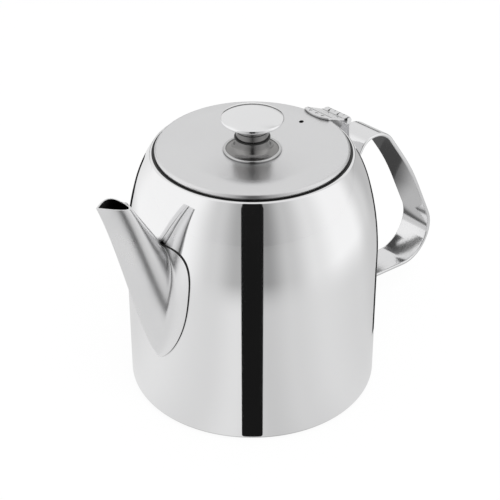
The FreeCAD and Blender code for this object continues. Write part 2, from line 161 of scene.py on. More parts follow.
def steel_finish():
    """Shader group for worked steel: hazy patches, fine grain along one direction and a slight tone."""
    group = bpy.data.node_groups.new("steel_finish", "ShaderNodeTree")
    face = group.interface
    face.new_socket("Grain Place", in_out="INPUT", socket_type="NodeSocketVector")
    face.new_socket("Colour", in_out="INPUT", socket_type="NodeSocketColor")
    for name in ("Polish", "Haze", "Tone"):
        face.new_socket(name, in_out="INPUT", socket_type="NodeSocketFloat")
    face.new_socket("Colour", in_out="OUTPUT", socket_type="NodeSocketColor")
    face.new_socket("Roughness", in_out="OUTPUT", socket_type="NodeSocketFloat")
    face.new_socket("Grain", in_out="OUTPUT", socket_type="NodeSocketFloat")
    nodes = group.nodes
    given = nodes.new("NodeGroupInput")
    made = nodes.new("NodeGroupOutput")
    place = nodes.new("ShaderNodeTexCoord")
    patches = nodes.new("ShaderNodeTexNoise")
    patches.inputs["Scale"].default_value = patch_scale
    patches.inputs["Detail"].default_value = patch_detail
    link(group, place.outputs["Object"], patches.inputs["Vector"])
    grain = nodes.new("ShaderNodeTexNoise")
    grain.inputs["Scale"].default_value = 1.0
    grain.inputs["Detail"].default_value = grain_detail
    link(group, given.outputs["Grain Place"], grain.inputs["Vector"])
    both = nodes.new("ShaderNodeMath")
    both.operation = "MULTIPLY"
    link(group, patches.outputs["Fac"], both.inputs[0])
    link(group, grain.outputs["Fac"], both.inputs[1])
    rough = nodes.new("ShaderNodeMath")
    rough.operation = "MULTIPLY_ADD"
    link(group, both.outputs[0], rough.inputs[0])
    link(group, given.outputs["Haze"], rough.inputs[1])
    link(group, given.outputs["Polish"], rough.inputs[2])
    dim = nodes.new("ShaderNodeMath")
    dim.operation = "MULTIPLY"
    link(group, patches.outputs["Fac"], dim.inputs[0])
    link(group, given.outputs["Tone"], dim.inputs[1])
    darker = nodes.new("ShaderNodeMix")
    darker.data_type = "RGBA"
    darker.blend_type = "MULTIPLY"
    darker.inputs["B"].default_value = patch_colour
    link(group, dim.outputs[0], darker.inputs["Factor"])
    link(group, given.outputs["Colour"], darker.inputs["A"])
    link(group, darker.outputs["Result"], made.inputs["Colour"])
    link(group, rough.outputs[0], made.inputs["Roughness"])
    link(group, grain.outputs["Fac"], made.inputs["Grain"])
    return group


finish_group = steel_finish()
# Painted shade: how far the darkening of corners and creases reaches, and how dark it gets.
corner_reach = 0.0035
corner_samples = 8
corner_dark = 0.25
corner_light = 0.8
corner_shade_colour = (0.03, 0.03, 0.03, 1.0)


def steel(name, colour, polish, haze, tone, grain_scale, grain_depth):
    """A steel: polish and haze set its roughness, and the grain's scale the direction of its lines. Its
    colour is darkened towards black in corners and creases by ambient occlusion, as painted shade.
    """
    material = bpy.data.materials.new(name)
    material.use_nodes = True
    tree = material.node_tree
    shader = tree.nodes["Principled BSDF"]
    shader.inputs["Metallic"].default_value = 1.0
    place = tree.nodes.new("ShaderNodeTexCoord")
    stretch = tree.nodes.new("ShaderNodeMapping")
    stretch.inputs["Scale"].default_value = grain_scale
    link(tree, place.outputs["Object"], stretch.inputs["Vector"])
    finish = tree.nodes.new("ShaderNodeGroup")
    finish.node_tree = finish_group
    finish.inputs["Colour"].default_value = colour
    finish.inputs["Polish"].default_value = polish
    finish.inputs["Haze"].default_value = haze
    finish.inputs["Tone"].default_value = tone
    link(tree, stretch.outputs["Vector"], finish.inputs["Grain Place"])
    # Painted shade: ambient occlusion turns the colour towards black in corners, creases and gaps.
    corners = tree.nodes.new("ShaderNodeAmbientOcclusion")
    corners.samples = corner_samples
    corners.inputs["Distance"].default_value = corner_reach
    link(tree, finish.outputs["Colour"], corners.inputs["Color"])
    depth = tree.nodes.new("ShaderNodeMapRange")
    depth.inputs["From Min"].default_value = corner_dark
    depth.inputs["From Max"].default_value = corner_light
    link(tree, corners.outputs["AO"], depth.inputs["Value"])
    shaded = tree.nodes.new("ShaderNodeMix")
    shaded.data_type = "RGBA"
    shaded.inputs["A"].default_value = corner_shade_colour
    link(tree, depth.outputs["Result"], shaded.inputs["Factor"])
    link(tree, finish.outputs["Colour"], shaded.inputs["B"])
    link(tree, shaded.outputs["Result"], shader.inputs["Base Color"])
    link(tree, finish.outputs["Roughness"], shader.inputs["Roughness"])
    bump = tree.nodes.new("ShaderNodeBump")
    bump.inputs["Strength"].default_value = 1.0
    bump.inputs["Distance"].default_value = grain_depth
    link(tree, finish.outputs["Grain"], bump.inputs["Height"])
    link(tree, bump.outputs["Normal"], shader.inputs["Normal"])
    return material


def half_section(inset):
    """The pot's outline from the axis at the base to the edge of its ledge, moved inwards by the inset."""
    change = math.radians(shoulder_change_angle)
    lower_centre = (body_radius - shoulder_lower_radius, wall_height)
    gap = shoulder_lower_radius - shoulder_upper_radius
    upper_centre = (lower_centre[0] + gap * math.cos(change), lower_centre[1] + gap * math.sin(change))
    rim_reach = shoulder_upper_radius - rim_bend_radius
    rim_angle = math.asin((seat_height - rim_bend_radius - upper_centre[1]) / rim_reach)
    rim_centre = (upper_centre[0] + rim_reach * math.cos(rim_angle), seat_height - rim_bend_radius)
    corner = body_radius - base_corner_radius
    points = joined(
        straight((0.0, inset), (corner, inset)),
        arc((corner, base_corner_radius), base_corner_radius - inset, -90, 0),
        straight((body_radius - inset, base_corner_radius), (body_radius - inset, wall_height)),
        arc(lower_centre, shoulder_lower_radius - inset, 0, shoulder_change_angle),
        arc(upper_centre, shoulder_upper_radius - inset, shoulder_change_angle, math.degrees(rim_angle)),
        arc(rim_centre, rim_bend_radius - inset, math.degrees(rim_angle), 90),
        straight((rim_centre[0], seat_height - inset), (rim_centre[0] - ledge_shown, seat_height - inset)),
        straight((rim_centre[0] - ledge_shown, seat_height - inset),
                 (rim_centre[0] - ledge_width, seat_height - inset)))
    return points, rim_centre[0]


def body_radius_at(height):
    """Outer radius of the pot at a height on its wall or shoulder."""
    change = math.radians(shoulder_change_angle)
    change_height = wall_height + shoulder_lower_radius * math.sin(change)
    lower_centre = body_radius - shoulder_lower_radius
    if height <= wall_height:
        return body_radius
    if height <= change_height:
        return lower_centre + math.sqrt(shoulder_lower_radius ** 2 - (height - wall_height) ** 2)
    gap = shoulder_lower_radius - shoulder_upper_radius
    rise = height - wall_height - gap * math.sin(change)
    reach = math.sqrt(max(shoulder_upper_radius ** 2 - rise ** 2, 0.0))
    return lower_centre + gap * math.cos(change) + reach


seat_height = wall_height + shoulder_height
outer_line, rim_radius = half_section(0.0)
inner_line, _ = half_section(body_sheet)
pot_polish = steel("pot_polish", steel_colour, polish=0.035, haze=0.05, tone=0.06,
                   grain_scale=(9.0, 9.0, 9.0), grain_depth=0.000004)
pot_satin = steel("pot_satin", satin_colour, polish=0.24, haze=0.2, tone=0.15,
                  grain_scale=(30.0, 30.0, 900.0), grain_depth=0.00001)
# Painted shade: the strip of ledge that shows round the lid is near black, for the shade in the gap between
# lid and rim.
ledge_shade = steel("ledge_shade", shade_colour, polish=0.35, haze=0.2, tone=0.3,
                   grain_scale=(60.0, 60.0, 60.0), grain_depth=0.00002)
pot = turned("pot", outer_line + inner_line[::-1], [pot_polish, pot_satin], inner_from=len(outer_line))
pot.data.materials.append(ledge_shade)
ledge_low = seat_height - 0.02
ledge_outer = rim_radius - 0.05
for face in pot.data.polygons:
    reach = math.hypot(face.center.x, face.center.y) / MM
    if face.center.z / MM > ledge_low and rim_radius - ledge_shown < reach < ledge_outer:
        face.material_index = 2

strainer_hole_radius = 2.0
strainer_start = -40.0
strainer_end = -90.0
strainer_pitch = 6.0
strainer_bottom = 63.0
strainer_rows = 7
strainer_single_rows = 2
holes = []
for row in range(strainer_rows):
    columns = (-0.5, 0.5) if row % 2 else (-1, 0, 1)
    if row < strainer_single_rows:
        columns = (0,)
    for column in columns:
        side = column * strainer_pitch
        height = strainer_bottom + row * strainer_pitch
        start = (strainer_start, side, height)
        end = (strainer_end, side, height)
        holes.append((start, end, strainer_hole_radius))
cut_holes(pot, holes)
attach(pot, "pot")
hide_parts("body_shell")


# Spout: two pressed halves of polished sheet, welded along a bead on top and down the front line.
# They swell to a flange that is welded to the wall, and end in a pointed lip. The inside and the flange's
# back edge are painted near black as shade, and the bead's foot is painted dark grey as the shade beside the
# bead.
spout_tip = Vector((-107.0, 0.0, 151.5))
spout_mouth_length = 18.5
spout_mouth_tilt = math.radians(13.7)
spout_mouth_width = 15.8
spout_root_width = 25.0
spout_top_height = 112.0
spout_top_depth = 6.0
spout_foot_height = 40.5
spout_foot_depth = 3.5
spout_keel_reach = 78.4
spout_keel_height = 37.7
spout_front_reach = 92.3
spout_front_height = 117.2
spout_sheet = 0.9
spout_front_inset = 1.6
spout_root_front_share = 0.7
spout_mouth_front_share = 0.25
weld_gap = 0.05
bead_radius = 1.2
flange_top = 113.5
flange_bottom = 42.0
flange_half_width = 21.5
flange_wide_height = 94.0
flange_top_flat = 6.0
flange_corner_out = 0.8
flange_corner_up = 0.65
flange_side_run = 0.54
flange_point_run = 0.07
flange_point_width = 0.42
flange_centre_height = 84.0
crease_soft_top = 0.9
crease_soft_bottom = 14.0
crease_growth = 1.5
crease_flange_share = 0.7
crease_spout_share = 0.5
outline_steps = 24
inside_steps = 24
outside_steps = 40
fold_steps = 10
flat_steps = 8

mouth_run = Vector((-math.cos(spout_mouth_tilt), 0.0, math.sin(spout_mouth_tilt)))
mouth_back = spout_tip - mouth_run * spout_mouth_length
spout_top = Vector((-body_radius_at(spout_top_height), 0.0, spout_top_height))
spout_run = (mouth_back - spout_top).normalized()
spout_root = spout_top - spout_run * spout_top_depth
bead_rise = Vector((0.0, 1.0, 0.0)).cross(spout_run)
spout_front = [Vector((spout_foot_depth - body_radius, 0.0, spout_foot_height)),
               Vector((-spout_keel_reach, 0.0, spout_keel_height)),
               Vector((-spout_front_reach, 0.0, spout_front_height)), spout_tip]


def blended(poles, share):
    """A point on the curve that the poles pull."""
    points = list(poles)
    while len(points) > 1:
        points = [a.lerp(b, share) for a, b in zip(points, points[1:])]
    return points[0]


def spout_poles(row, inset):
    """Poles of one row across the +Y half, from the top line to the front line."""
    along = row / 3
    top = spout_root.lerp(mouth_back, along)
    down = (spout_front[row] - top).normalized()
    first = top + down * inset
    last = spout_front[row] - down * (inset * spout_front_inset)
    half_width = (spout_root_width + (spout_mouth_width - spout_root_width) * along) / 2 - inset
    share = spout_root_front_share + (spout_mouth_front_share - spout_root_front_share) * along
    bulge = Vector((0.0, half_width * 4 / 3, 0.0))
    return [first, first + bulge, first.lerp(last, share) + bulge, last]


def spout_point(along, across, inset):
    """A point of the spout's +Y half: along it from root to mouth, and across it from top to front."""
    return blended([blended(spout_poles(row, inset), across) for row in range(4)], along)


def wall_share(across, inset, lift):
    """How far along the spout its side meets the pot's wall, lifted off by the lift."""
    low, high = 0.0, 1.0
    for _ in range(40):
        middle = (low + high) / 2
        point = spout_point(middle, across, inset)
        if math.hypot(point.x, point.y) < body_radius_at(point.z) + lift:
            low = middle
        else:
            high = middle
    return high


def on_wall(y, z, lift):
    """The point of the pot's wall on the spout's side at a width and a height, lifted off by the lift."""
    return Vector((-math.sqrt((body_radius_at(z) + lift) ** 2 - y * y), y, z))


def flange_line(steps):
    """The flange's outline on the +Y side, seen along X: a flat top, a round corner and a long side."""
    top_rise = flange_top - flange_wide_height
    drop = flange_wide_height - flange_bottom
    corner = [Vector((flange_top_flat, flange_top)),
              Vector((flange_half_width * flange_corner_out, flange_top)),
              Vector((flange_half_width, flange_wide_height + top_rise * flange_corner_up)),
              Vector((flange_half_width, flange_wide_height))]
    side = [corner[-1], corner[-1] - Vector((0.0, drop * flange_side_run)),
            Vector((flange_half_width * flange_point_width, flange_bottom + drop * flange_point_run)),
            Vector((0.0, flange_bottom))]
    flat = [Vector((flange_top_flat * step / steps, flange_top)) for step in range(steps)]
    return (flat + [blended(corner, step / steps) for step in range(steps)]
            + [blended(side, step / steps) for step in range(steps + 1)])


def flange_edge(crease):
    """The point of the flange's outline that lies straight out from a point of the crease."""
    heading = math.atan2(crease.y, crease.z - flange_centre_height)
    for first, last in zip(outline, outline[1:]):
        start = math.atan2(first.x, first.y - flange_centre_height)
        end = math.atan2(last.x, last.y - flange_centre_height)
        if start <= heading <= end and end > start:
            return first.lerp(last, (heading - start) / (end - start))
    return outline[-1]


bead_steps = 8
bead_share = 0.034
side_steps = 56
across_steps = [bead_share * math.sin(math.pi / 2 * step / bead_steps) for step in range(bead_steps + 1)]
across_steps += [bead_share + (1 - bead_share) * step / side_steps for step in range(1, side_steps + 1)]


def spout_profile(across):
    """One line round the sheet: up the inside to the lip, down the outside, over crease and flange."""
    lift = weld_gap + spout_sheet
    start_in = wall_share(across, spout_sheet, weld_gap)
    start = wall_share(across, 0.0, lift)
    inside = [spout_point(start_in + (1 - start_in) * step / inside_steps, across, spout_sheet)
              for step in range(inside_steps + 1)]
    crease = spout_point(start, across, 0.0)
    soft = crease_soft_top + (crease_soft_bottom - crease_soft_top) * across ** crease_growth
    edge = flange_edge(crease)
    width = math.hypot(edge.x - crease.y, edge.y - crease.z)
    soft_flange = min(soft / max(width, same_place), crease_flange_share)
    length = (spout_point(1.0, across, 0.0) - crease).length
    soft_end = start + (1 - start) * min(soft / length, crease_spout_share)
    outside = [spout_point(1 - (1 - soft_end) * step / outside_steps, across, 0.0)
               for step in range(outside_steps + 1)]

    def on_flange(share, height):
        y = crease.y + (edge.x - crease.y) * share
        z = crease.z + (edge.y - crease.z) * share
        return on_wall(max(y, 0.0), z, height)

    blend = [outside[-1], crease, on_flange(soft_flange, lift)]
    fold = [blended(blend, step / fold_steps) for step in range(1, fold_steps)]
    flat = [on_flange(soft_flange + (1 - soft_flange) * step / flat_steps, lift)
            for step in range(flat_steps + 1)]
    back = [on_flange(1.0, weld_gap)]
    for index, point in enumerate(outside):
        rise = bead_radius ** 2 - point.y ** 2
        if across < bead_share and rise > 0:
            to_mouth = (outside[0] - point).length
            fade = min(1.0, to_mouth / bead_radius)
            outside[index] = point + bead_rise * (math.sqrt(rise) * fade)
    return inside + outside + fold + flat + back


outline = flange_line(outline_steps)
profiles = [spout_profile(across) for across in across_steps]
lip_index = inside_steps
fold_index = inside_steps + outside_steps + 1
spout_polish = steel("spout_polish", steel_colour, polish=0.24, haze=0.2, tone=0.15,
                     grain_scale=(160.0, 160.0, 40.0), grain_depth=0.00001)
# Painted shade: near black for the inside of the spout and for the flange's back edge against the wall.
spout_inside_shade = steel("spout_inside_shade", shade_colour, polish=0.45, haze=0.2, tone=0.3,
                     grain_scale=(60.0, 60.0, 60.0), grain_depth=0.00002)
# Painted shade: a dark grey for the foot of the bead on top, where the step beside it lies in shade.
spout_seam_shade = steel("spout_seam_shade", (0.30, 0.30, 0.30, 1.0), polish=0.3, haze=0.2, tone=0.3,
                   grain_scale=(400.0, 400.0, 400.0), grain_depth=0.00003)
for name, side in (("spout_near_half", -1), ("spout_far_half", 1)):
    builder = bmesh.new()
    rows = []
    for profile in profiles:
        rows.append([builder.verts.new((p.x * MM, side * max(p.y, 0.0) * MM, p.z * MM)) for p in profile])
    count = len(rows[0])
    for row, (first, last) in enumerate(zip(rows, rows[1:])):
        for index in range(count):
            ahead = (index + 1) % count
            face = builder.faces.new((first[index], first[ahead], last[ahead], last[index]))
            # Painted shade: the inside and the flange's back edge take the near-black material, and the
            # bead's foot the dark grey one.
            in_shade = index < lip_index or index >= count - 2
            bead_foot_shade = row in (bead_steps - 1, bead_steps) and index < fold_index
            face.material_index = 1 if in_shade else 2 if bead_foot_shade else 0
    bmesh.ops.remove_doubles(builder, verts=builder.verts, dist=1e-7)
    half = new_piece(name + "_sheet", builder, [spout_polish, spout_inside_shade, spout_seam_shade])
    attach(half, "pot")
    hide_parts(name)


# Handle: one flat strap of polished steel with eased edges, bent to a loop, with a welded foot at each end.
# The upper foot lies on the hinge bracket on the shoulder and the lower foot on the wall.
strap_width = 21.0
strap_thickness = 2.2
strap_edge_radius = 0.9
hinge_sheet = 1.1
upper_foot = (92.0, 106.0)
arch_lean = math.radians(34.0)
arch_top_height = 123.5
arch_root_radius = 10.0
arch_radius = 19.5
arch_reach = 97.2
grip_knee = (123.0, 86.7)
grip_knee_radius = 180.0
handle_reach = 144.5
handle_bottom = 19.0
lower_bend_radius = 20.0
lower_run_rise = math.radians(6.0)
lower_foot_length = 14.0
foot_bend_radius = 6.0
edge_steps = 8
least_arc_steps = 6
half_strap = strap_thickness / 2


def strap_corners():
    """Corners of the strap's middle line in the XZ plane, from the upper foot to the lower one."""
    low = Vector((body_radius_at(upper_foot[0]), upper_foot[0]))
    high = Vector((body_radius_at(upper_foot[1]), upper_foot[1]))
    run = (high - low).normalized()
    lift = Vector((run.y, -run.x)) * (hinge_sheet + half_strap)
    foot_low = low + lift
    foot_high = high + lift
    arch_height = arch_top_height - half_strap
    arch_start = Vector((foot_high.x + (arch_height - foot_high.y) * math.tan(arch_lean), arch_height))
    knee = Vector(grip_knee)
    inset = half_strap + lower_bend_radius
    to_centre = Vector((handle_reach - inset, handle_bottom + inset)) - knee
    heading = math.atan2(to_centre.y, to_centre.x) + math.asin(lower_bend_radius / to_centre.length)
    turn = heading + math.pi + lower_run_rise
    tangent = math.sqrt(to_centre.length ** 2 - lower_bend_radius ** 2)
    reach = tangent + lower_bend_radius * math.tan(turn / 2)
    lower = knee + Vector((math.cos(heading), math.sin(heading))) * reach
    wall = body_radius + weld_gap + half_strap
    wall_corner = lower + Vector((-1.0, math.tan(lower_run_rise))) * (lower.x - wall)
    foot_end = wall_corner + Vector((0.0, lower_foot_length + foot_bend_radius))
    arch_end = Vector((arch_reach, arch_height))
    return [foot_low, foot_high, arch_start, arch_end, knee, lower, wall_corner, foot_end]


def rounded_path(corners, radii):
    """Points and headings along straight runs joined by arcs."""
    path = []
    start = corners[0]
    for index, radius in enumerate(radii, start=1):
        corner = corners[index]
        back = (corners[index - 1] - corner).normalized()
        ahead = (corners[index + 1] - corner).normalized()
        half_angle = back.angle(ahead) / 2
        first = corner + back * (radius / math.tan(half_angle))
        centre = corner + (back + ahead).normalized() * (radius / math.sin(half_angle))
        for point in straight(tuple(start), tuple(first)):
            path.append((Vector(point), -back))
        turn = math.pi - 2 * half_angle
        sense = 1.0 if (-back).x * ahead.y - (-back).y * ahead.x > 0 else -1.0
        steps = max(least_arc_steps, int(math.degrees(turn) / arc_step))
        arm = first - centre
        for step in range(1, steps + 1):
            angle = sense * turn * step / steps
            cos, sin = math.cos(angle), math.sin(angle)
            spoke = Vector((arm.x * cos - arm.y * sin, arm.x * sin + arm.y * cos))
            heading = Vector((-back.x * cos + back.y * sin, -back.x * sin - back.y * cos))
            path.append((centre + spoke, heading))
        start = path[-1][0]
    for point in straight(tuple(start), tuple(corners[-1])):
        path.append((Vector(point), (corners[-1] - corners[-2]).normalized()))
    return path


def strap_section():
    """The strap's section as (along Y, across the strap) points, with eased edges."""
    flat = strap_width / 2 - strap_edge_radius
    rise = half_strap - strap_edge_radius
    points = []
    for centre, start in (((flat, rise), 0), ((-flat, rise), 90),
                          ((-flat, -rise), 180), ((flat, -rise), 270)):
        for step in range(edge_steps + 1):
            angle = math.radians(start + 90 * step / edge_steps)
            points.append((centre[0] + strap_edge_radius * math.cos(angle),
                           centre[1] + strap_edge_radius * math.sin(angle)))
        if start in (0, 180):
            sign = 1 if start == 0 else -1
            points.append((sign * (flat - support_gap), sign * half_strap))
            points.append((-sign * (flat - support_gap), sign * half_strap))
    return points


strap_radii = [foot_bend_radius, arch_root_radius, arch_radius, grip_knee_radius, lower_bend_radius,
               foot_bend_radius]
strap_polish = steel("strap_polish", (0.86, 0.86, 0.865, 1.0), polish=0.09, haze=0.14, tone=0.15,
                     grain_scale=(40.0, 700.0, 40.0), grain_depth=0.000006)
builder = bmesh.new()
section = strap_section()
rows = []
last_place = None
strap_path = rounded_path(strap_corners(), strap_radii)
for place, heading in strap_path:
    if last_place is not None and (place - last_place).length < same_place:
        continue
    last_place = place
    across = Vector((-heading.y, heading.x))
    row = []
    for along_y, out in section:
        spot = place + across * out
        row.append(builder.verts.new((spot.x * MM, along_y * MM, spot.y * MM)))
    rows.append(row)
for first, last in zip(rows, rows[1:]):
    for index in range(len(section)):
        ahead = (index + 1) % len(section)
        builder.faces.new((first[index], first[ahead], last[ahead], last[index]))
builder.faces.new(rows[0])
builder.faces.new(rows[-1])
strap = new_piece("strap", builder, [strap_polish])
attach(strap, "pot")
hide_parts("handle_strap")


# Hinge: a bent bracket on the shoulder and a leaf on the lid's rim, both of bright sheet rolled round a pin.
# The leaf has three weld marks, and the pin's ends are peened over. The knob's screw and washer match.
hinge_steel = steel("hinge_steel", (0.82, 0.82, 0.825, 1.0), polish=0.1, haze=0.2, tone=0.25,
                    grain_scale=(300.0, 60.0, 300.0), grain_depth=0.00001)


def refinish(name, material):
    """Gives a piece that keeps its own shape a finish of steel."""
    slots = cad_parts[name].data.materials
    slots.clear()
    slots.append(material)


for name in ("hinge_bracket", "hinge_pin", "lid_hinge_leaf", "knob_screw", "knob_washer"):
    refinish(name, hinge_steel)


# Lid: a pressed cover with a dished middle and a rolled edge, satin polished, with a small vent hole.
# A plain ring welded under it drops into the pot's mouth and centres it.
lid_margin = 1.5
lid_lift = 0.3
lid_sheet = 0.9
lid_height = 3.8
lid_edge_height = 2.7
lid_edge_radius = 2.2
lid_crown_width = 11.7
lid_dish_depth = 3.5
lid_dish_radius = 18.0
lid_bend_radius = 30.0
vent_radius = 1.3
vent_distance = 37.5
screw_hole_radius = 2.15
lid_radius = rim_radius - lid_margin
lid_low = seat_height + lid_lift
lid_crown = lid_low + lid_height
dish_height = lid_crown - lid_dish_depth


def lid_line(inset):
    """The lid's top from its middle hole to the foot of its edge, moved inwards by the inset."""
    corners = [Vector((screw_hole_radius, dish_height - inset)),
               Vector((lid_dish_radius, dish_height - inset)),
               Vector((lid_radius - lid_crown_width, lid_crown - inset)),
               Vector((lid_radius - inset, lid_low + lid_edge_height - inset)),
               Vector((lid_radius - inset, lid_low))]
    radii = [lid_bend_radius + inset, lid_bend_radius - inset, lid_edge_radius - inset]
    path = rounded_path(corners, radii)
    return joined([tuple(place) for place, _ in path])


lid_satin = steel("lid_satin", (0.78, 0.78, 0.785, 1.0), polish=0.27, haze=0.12, tone=0.12,
                  grain_scale=(120.0, 120.0, 120.0), grain_depth=0.000006)
lid_top = lid_line(0.0)
lid = turned("lid", lid_top + lid_line(lid_sheet)[::-1], [lid_satin, pot_satin], inner_from=len(lid_top))
vent_low = (vent_distance, 0.0, lid_low - lid_height)
vent_high = (vent_distance, 0.0, lid_crown + lid_height)
cut_holes(lid, [(vent_low, vent_high, vent_radius)])
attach(lid, "lid")
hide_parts("lid_cover")
refinish("lid_locating_ring", pot_satin)


# Knob: a turned trumpet base with a raised ring, a black heat break, a neck and a domed cap on one screw.
# The turned pieces are polished, with faint lathe rings, and a black band is painted round the neck below
# the cap as the shade of the joint.
knob_base_radius = 15.75
knob_base_ring_height = 1.3
knob_base_ring_width = 1.6
knob_base_height = 7.6
knob_throat_radius = 9.2
knob_flare_spread = 0.9
knob_flare_low = 0.6
knob_flare_high = 2.2
knob_spacer_radius = 9.7
knob_spacer_height = 0.8
knob_neck_radius = 8.8
knob_neck_height = 5.1
knob_cap_radius = 17.0
knob_cap_edge_radius = 1.2
knob_cap_edge_angle = 60.0
knob_cap_flare_height = 5.2
knob_cap_dome_height = 4.4
knob_cap_flare_run = 3.6
knob_cap_rim_pull = 3.0
knob_cap_crown_radius = 7.7
ring_ease = 0.12
shade_band_depth = 1.0
shade_band_height = 0.6
curve_steps = 28
spacer_low = dish_height + knob_base_height
neck_low = spacer_low + knob_spacer_height
cap_low = neck_low + knob_neck_height
cap_edge = cap_low + knob_cap_flare_height
cap_top = cap_edge + knob_cap_dome_height


def pulled(poles):
    """Points of the curve that the poles pull."""
    return [tuple(blended([Vector(pole) for pole in poles], step / curve_steps))
            for step in range(curve_steps + 1)]


def ring_line(radius, low, high):
    """A plain turned ring on the screw, with its outer edges just eased and room for a band of painted shade
    near its top.
    """
    inner = radius - ring_ease
    bottom = low + ring_ease
    shade_band_low = max(high - shade_band_depth - shade_band_height, bottom)
    shade_band_high = max(high - shade_band_depth, bottom)
    return joined(
        straight((screw_hole_radius, low), (inner, low)),
        arc((inner, bottom), ring_ease, -90, 0),
        straight((radius, bottom), (radius, shade_band_low)),
        straight((radius, shade_band_low), (radius, shade_band_high)),
        straight((radius, shade_band_high), (radius, high - ring_ease)),
        arc((inner, high - ring_ease), ring_ease, 0, 90),
        straight((inner, high), (screw_hole_radius, high)))


ring_in = knob_base_radius - knob_base_ring_width
ring_half = knob_base_ring_width / 2
ring_centre = (knob_base_radius - ring_half, dish_height + knob_base_ring_height - ring_half)
flare_step = dish_height + knob_base_ring_height / 2
base_line = joined(
    straight((screw_hole_radius, dish_height), (knob_base_radius, dish_height)),
    straight((knob_base_radius, dish_height), (knob_base_radius, ring_centre[1])),
    arc(ring_centre, ring_half, 0, 180),
    straight((ring_in, ring_centre[1]), (ring_in, flare_step)),
    pulled([(ring_in, flare_step), (knob_throat_radius + knob_flare_spread, flare_step + knob_flare_low),
            (knob_throat_radius, flare_step + knob_flare_high), (knob_throat_radius, spacer_low)]),
    straight((knob_throat_radius, spacer_low), (screw_hole_radius, spacer_low)))
edge_centre = (knob_cap_radius - knob_cap_edge_radius, cap_edge)
edge_under = cap_edge - knob_cap_edge_radius
edge_turn = math.radians(knob_cap_edge_angle)
edge_spoke = Vector((math.cos(edge_turn), math.sin(edge_turn)))
rim = Vector(edge_centre) + edge_spoke * knob_cap_edge_radius
rim_ahead = rim + Vector((-edge_spoke.y, edge_spoke.x)) * knob_cap_rim_pull
cap_line = joined(
    straight((0.0, cap_low), (knob_neck_radius, cap_low)),
    pulled([(knob_neck_radius, cap_low), (knob_neck_radius, edge_under),
            (knob_cap_radius - knob_cap_flare_run, edge_under), (edge_centre[0], edge_under)]),
    arc(edge_centre, knob_cap_edge_radius, -90, knob_cap_edge_angle),
    pulled([rim, rim_ahead, (knob_cap_crown_radius, cap_top), (0.0, cap_top)]))

lathe_rings = (60.0, 60.0, 1400.0)
knob_polish = steel("knob_polish", steel_colour, polish=0.06, haze=0.1, tone=0.12,
                    grain_scale=lathe_rings, grain_depth=0.000006)
knob_grey = steel("knob_grey", (0.30, 0.295, 0.29, 1.0), polish=0.17, haze=0.16, tone=0.2,
                  grain_scale=lathe_rings, grain_depth=0.000008)
knob_pale = steel("knob_pale", (0.62, 0.62, 0.62, 1.0), polish=0.12, haze=0.12, tone=0.12,
                  grain_scale=lathe_rings, grain_depth=0.000006)
# Black plastic for the heat break; the same material is also painted on a band of the neck as shade.
black_plastic_and_shade = bpy.data.materials.new("black_plastic_and_shade")
black_plastic_and_shade.use_nodes = True
tree = black_plastic_and_shade.node_tree
shader = tree.nodes["Principled BSDF"]
shader.inputs["Base Color"].default_value = (0.012, 0.012, 0.012, 1.0)
shader.inputs["Roughness"].default_value = 0.42
grain = tree.nodes.new("ShaderNodeTexNoise")
grain.inputs["Scale"].default_value = 900.0
bump = tree.nodes.new("ShaderNodeBump")
bump.inputs["Distance"].default_value = 0.00002
link(tree, grain.outputs["Fac"], bump.inputs["Height"])
link(tree, bump.outputs["Normal"], shader.inputs["Normal"])

neck_side = knob_neck_radius - 0.2
shade_band_top = cap_low - shade_band_depth
for name, profile, material, slot in (
        ("knob_base", base_line, knob_grey, "knob_steel"),
        ("knob_spacer", ring_line(knob_spacer_radius, spacer_low, neck_low), black_plastic_and_shade, "black_spacer"),
        ("knob_neck", ring_line(knob_neck_radius, neck_low, cap_low), knob_grey, "knob_steel"),
        ("knob_cap", cap_line, knob_polish, "knob_steel")):
    piece = turned(name + "_turned", profile, [material, knob_pale, black_plastic_and_shade])
    for face in piece.data.polygons:
        reach = math.hypot(face.center.x, face.center.y) / MM
        height = face.center.z / MM
        if name == "knob_base" and reach > ring_in:
            face.material_index = 1
        # Painted shade: a band round the neck just below the cap takes the black material, for the shade of
        # the joint.
        if name == "knob_neck" and reach > neck_side and 0 < shade_band_top - height < shade_band_height:
            face.material_index = 2
    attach(piece, "lid")
    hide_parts(name)


# Studio: a pale floor under an even white surround, one soft lamp, and cards that only reflections see.
# The camera stands where the photograph was taken from.
scene = bpy.context.scene
scene.view_settings.view_transform = "Standard"
camera_distance = 0.850
camera_azimuth = math.radians(-44.0)
camera_elevation = math.radians(32.74)
camera_target = Vector((0.0, 0.0, 0.0794))
focal_pixels = 1520.0
picture_pixels = 500.0
axis_offset_pixels = 2.3
sensor = 36.0
to_eye = Vector((math.sin(camera_azimuth), -math.cos(camera_azimuth), 0.0))
beside = Vector((-to_eye.y, to_eye.x, 0.0))
up = Vector((0.0, 0.0, 1.0))
back = to_eye * math.cos(camera_elevation) + up * math.sin(camera_elevation)
camera_data = bpy.data.cameras.new("camera")
camera_data.sensor_width = sensor
camera_data.lens = sensor * focal_pixels / picture_pixels
camera_data.shift_x = -axis_offset_pixels / picture_pixels
camera = bpy.data.objects.new("camera", camera_data)
camera.location = camera_target + back * camera_distance
camera.rotation_euler = back.to_track_quat("Z", "Y").to_euler()
scene.collection.objects.link(camera)
scene.camera = camera


def feed(tree, value, socket):
    """Gives a socket a plain value or another node's output."""
    if isinstance(value, bpy.types.NodeSocket):
        link(tree, value, socket)
    else:
        socket.default_value = value


def chain(tree, operation, first, second, kind="ShaderNodeMath"):
    """The value of a two-sided math node."""
    node = tree.nodes.new(kind)
    node.operation = operation
    feed(tree, first, node.inputs[0])
    feed(tree, second, node.inputs[1])
    return node.outputs["Value"]


